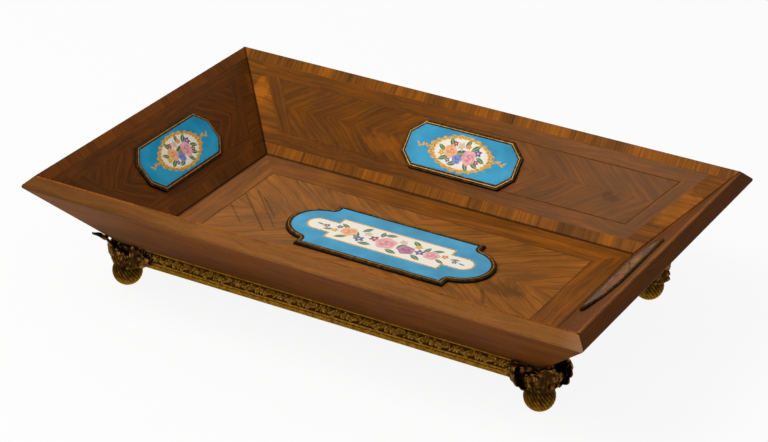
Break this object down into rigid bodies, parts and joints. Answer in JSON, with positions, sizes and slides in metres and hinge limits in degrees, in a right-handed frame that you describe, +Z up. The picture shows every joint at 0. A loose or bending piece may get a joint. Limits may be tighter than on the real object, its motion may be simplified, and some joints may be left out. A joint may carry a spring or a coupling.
{
  "type": "desk tray",
  "caption": "Shallow rectangular desk tray with four outward-sloping veneered walls, porcelain plaques let into floor and walls, a cast gilt strip round the base and ball feet.",
  "frame": {"origin": "on the table, below the middle of the tray", "axes": "+X along the tray's length, +Y towards its back wall, +Z up"},
  "size_m": [0.4136, 0.2772, 0.09],
  "materials": {
    "carcase_wood": "plain planed wood",
    "outer_veneer": "satin polished veneer",
    "field_veneer": "satin polished veneer",
    "banding_veneer": "satin polished veneer",
    "crossband_veneer": "satin polished veneer",
    "stringing": "satin polished line of pale wood",
    "rim_wood": "satin polished",
    "porcelain": "glossy glaze",
    "dark_brass": "dark patina worn bright on the edges",
    "gilt_brass": "aged gilding, dark in the recesses",
    "pin_brass": "plain",
    "steel": "plain"
  },
  "bodies": {
    "root": {"base_panel": "carcase_wood", "wall_board_front": "carcase_wood", "outer_veneer_front": "outer_veneer", "inner_field_front": "field_veneer", "inner_banding_front": "banding_veneer", "inner_crossband_front": "crossband_veneer", "rim_lipping_front": "rim_wood", "plaque_frame_front": "dark_brass", "plaque_front": "porcelain", "base_moulding_front": "gilt_brass", "wall_board_back": "carcase_wood", "outer_veneer_back": "outer_veneer", "inner_field_back": "field_veneer", "inner_banding_back": "banding_veneer", "inner_crossband_back": "crossband_veneer", "rim_lipping_back": "rim_wood", "plaque_frame_back": "dark_brass", "plaque_back": "porcelain", "base_moulding_back": "gilt_brass", "wall_board_left": "carcase_wood", "outer_veneer_left": "outer_veneer", "inner_field_left": "field_veneer", "inner_banding_left": "banding_veneer", "inner_crossband_left": "crossband_veneer", "rim_lipping_left": "rim_wood", "plaque_frame_left": "dark_brass", "plaque_left": "porcelain", "base_moulding_left": "gilt_brass", "wall_board_right": "carcase_wood", "outer_veneer_right": "outer_veneer", "inner_field_right": "field_veneer", "inner_banding_right": "banding_veneer", "inner_crossband_right": "crossband_veneer", "rim_lipping_right": "rim_wood", "plaque_frame_right": "dark_brass", "plaque_right": "porcelain", "base_moulding_right": "gilt_brass", "wall_stringing": "stringing", "floor_banding": "banding_veneer", "floor_field": "field_veneer", "floor_stringing": "stringing", "plaque_floor": "porcelain", "plaque_frame_floor": "dark_brass", "corner_mount_front_right": "gilt_brass", "corner_mount_back_right": "gilt_brass", "corner_mount_back_left": "gilt_brass", "corner_mount_front_left": "gilt_brass", "foot_balls": "gilt_brass", "foot_studs": "steel", "frame_pins": "pin_brass", "moulding_pins": "pin_brass"}
  },
  "joints": []
}
